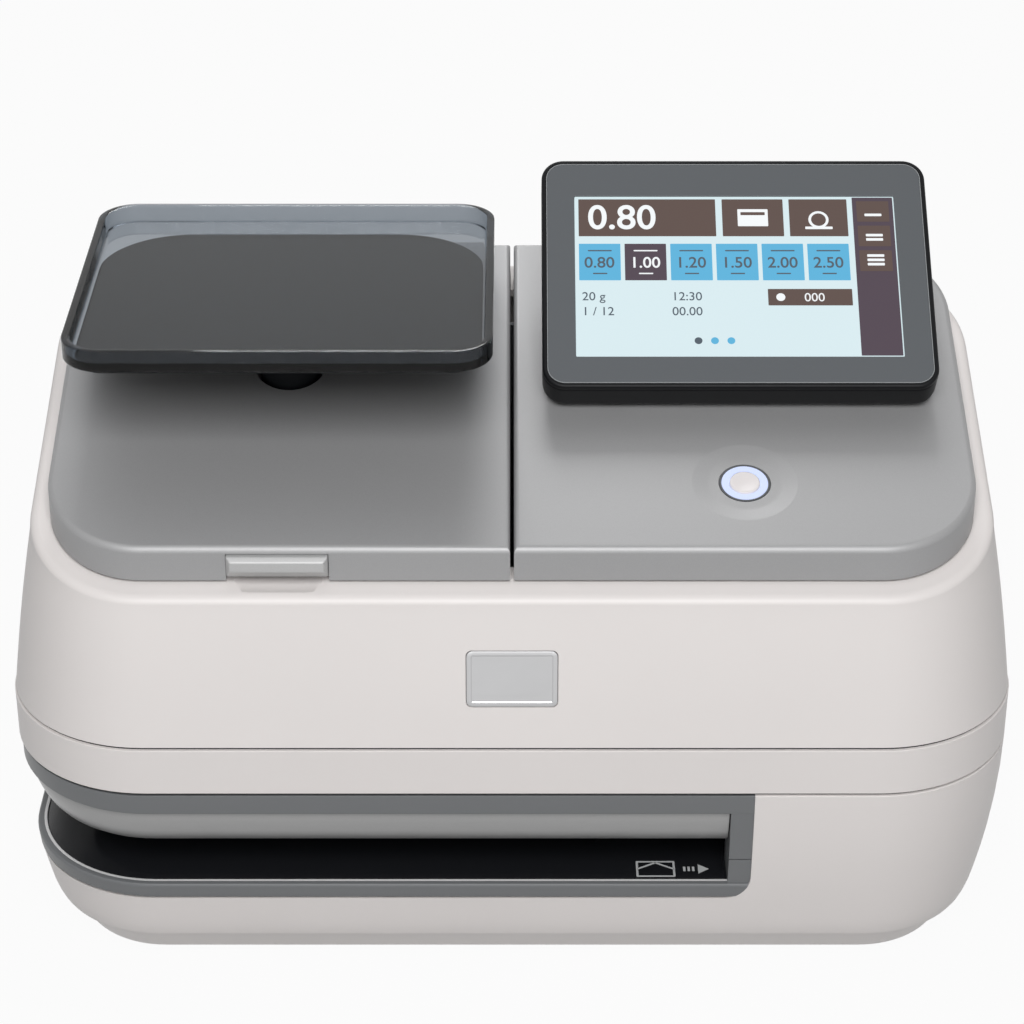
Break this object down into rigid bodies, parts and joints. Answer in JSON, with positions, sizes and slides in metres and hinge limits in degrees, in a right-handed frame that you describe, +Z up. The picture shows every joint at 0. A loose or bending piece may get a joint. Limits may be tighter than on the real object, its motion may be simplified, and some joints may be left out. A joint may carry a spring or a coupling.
{
  "type": "postage meter",
  "caption": "Desk postage meter: moulded casing with a letter slot, hinged lid with weighing tray, tilting display, power button and a print unit inside.",
  "frame": {"origin": "on the table under the middle of the machine", "axes": "+X to the machine's right as its user sees it, +Y to its back, +Z up"},
  "size_m": [0.3328, 0.1714, 0.2389],
  "materials": {
    "casing_white": "fine-textured warm white moulding",
    "deck_silver": "satin silver-grey paint on plastic",
    "badge_silver": "brushed, bare",
    "bezel_grey": "dark grey moulding",
    "lip_grey": "mid grey moulding",
    "table_black": "black, slightly glossy",
    "smoked_clear": "smoked clear plastic",
    "display_black": "black satin",
    "display_grey": "dark grey satin gloss",
    "screen": "colour screen behind cover glass",
    "glow": "translucent light guide",
    "button_white": "warm white satin",
    "rubber": "matt rubber",
    "steel": "ground bar",
    "sheet": "zinc-grey sheet",
    "alloy": "machined bar",
    "motor": "dark can",
    "brass": "sintered bush",
    "inner_black": "black moulding",
    "inner_grey": "grey moulding",
    "ink": "blue cartridge body",
    "latch_green": "green lever",
    "board": "circuit board"
  },
  "bodies": {
    "body": {"base_shell": "casing_white", "base_plate": "sheet", "rubber_feet": "rubber", "base_screws": "steel", "mid_band": "casing_white", "upper_casing": "casing_white", "badge_plate": "badge_silver", "upper_bezel": "bezel_grey", "lower_bezel": "bezel_grey", "guide_lip": "lip_grey", "letter_table": "table_black", "letter_stops": "table_black", "chassis": "sheet", "print_deck": "sheet", "lid_hinge_pins": "steel", "right_cover": "deck_silver", "button_bezel": "bezel_grey", "light_ring": "glow", "button_board": "board", "display_brackets": "inner_black", "front_rail": "sheet", "guide_rods": "steel", "carriage_motor": "motor", "capping_station": "rubber", "feed_bearings": "brass", "drive_motor": "motor", "drive_belt": "rubber", "pressure_bracket": "sheet", "pressure_springs": "steel", "main_board": "board", "security_module": "inner_grey", "power_supply": "inner_black", "connector_panel": "inner_black", "power_inlet": "inner_black", "data_ports": "alloy"},
    "lid": {"lid_cover": "deck_silver", "lid_grip": "deck_silver", "load_cell": "alloy"},
    "scale": {"scale_post": "inner_black", "tray_carrier": "inner_black"},
    "tray": {"weighing_tray": "smoked_clear"},
    "display": {"display_back": "display_black", "display_front": "display_grey", "screen_glass": "screen", "lcd_panel": "inner_grey", "display_pins": "steel"},
    "power_button": {"button_cap": "button_white"},
    "feed": {"feed_shaft": "steel", "feed_rollers": "rubber", "feed_pulley": "inner_grey"},
    "motor_rotor": {"motor_pulley": "steel"},
    "pressure_arm": {"pressure_arm": "alloy"},
    "pressure_rollers": {"pressure_rollers": "rubber"},
    "carriage": {"print_carriage": "inner_grey", "ink_cartridge_left": "ink", "ink_cartridge_right": "ink"},
    "carriage_screw": {"carriage_screw": "steel"},
    "latch_left": {"latch_left": "latch_green"},
    "latch_right": {"latch_right": "latch_green"}
  },
  "joints": [
    {"name": "lid_hinge", "type": "hinge", "parent": "body", "child": "lid", "pos_m": [0, 0.068, 0.19154], "axis": [-1, 0, 0], "range_deg": [0, 60]},
    {"name": "scale_load", "type": "slide", "parent": "lid", "child": "scale", "axis": [0, 0, 1], "range_m": [-0.0006, 0], "stiffness_N_per_m": 8000, "springref_m": 0.0004},
    {"name": "tray_lift", "type": "slide", "parent": "scale", "child": "tray", "axis": [0, 0, 1], "range_m": [0, 0.03]},
    {"name": "display_tilt", "type": "hinge", "parent": "body", "child": "display", "pos_m": [0.075, -0.0073, 0.18801], "axis": [1, 0, 0], "range_deg": [-16, 12]},
    {"name": "power_press", "type": "slide", "parent": "body", "child": "power_button", "axis": [0, -0.2924, 0.9563], "range_m": [-0.0012, 0], "stiffness_N_per_m": 900, "springref_m": 0.0008},
    {"name": "feed_turn", "type": "hinge", "parent": "body", "child": "feed", "pos_m": [0.04, 0, 0.05385], "axis": [0, 1, 0], "continuous": true},
    {"name": "motor_turn", "type": "hinge", "parent": "body", "child": "motor_rotor", "pos_m": [0.062, 0.038, 0.09265], "axis": [0, 1, 0], "continuous": true},
    {"name": "pressure_swing", "type": "hinge", "parent": "body", "child": "pressure_arm", "pos_m": [0.066, -0.026, 0.02085], "axis": [0, -1, 0], "range_deg": [0, 16], "stiffness_Nm_per_rad": 0.6, "springref_deg": -20.05, "deforming": ["pressure_springs"]},
    {"name": "pressure_turn", "type": "hinge", "parent": "pressure_arm", "child": "pressure_rollers", "pos_m": [0.04, -0.026, 0.03135], "axis": [0, 1, 0], "continuous": true},
    {"name": "carriage_slide", "type": "slide", "parent": "body", "child": "carriage", "axis": [0, 1, 0], "range_m": [0, 0.036]},
    {"name": "screw_turn", "type": "hinge", "parent": "body", "child": "carriage_screw", "pos_m": [-0.0363, 0, 0.057], "axis": [0, 1, 0], "range_deg": [-5, 1085]},
    {"name": "latch_left_swing", "type": "hinge", "parent": "carriage", "child": "latch_left", "pos_m": [-0.0824, 0.01, 0.122], "axis": [-1, 0, 0], "range_deg": [0, 40]},
    {"name": "latch_right_swing", "type": "hinge", "parent": "carriage", "child": "latch_right", "pos_m": [-0.0576, 0.01, 0.122], "axis": [-1, 0, 0], "range_deg": [0, 40]}
  ],
  "couplings": [
    {"joint": "feed_turn", "follows": "motor_turn", "ratio": 0.5},
    {"joint": "screw_turn", "follows": "carriage_slide", "rad_per_m": 523.6}
  ]
}
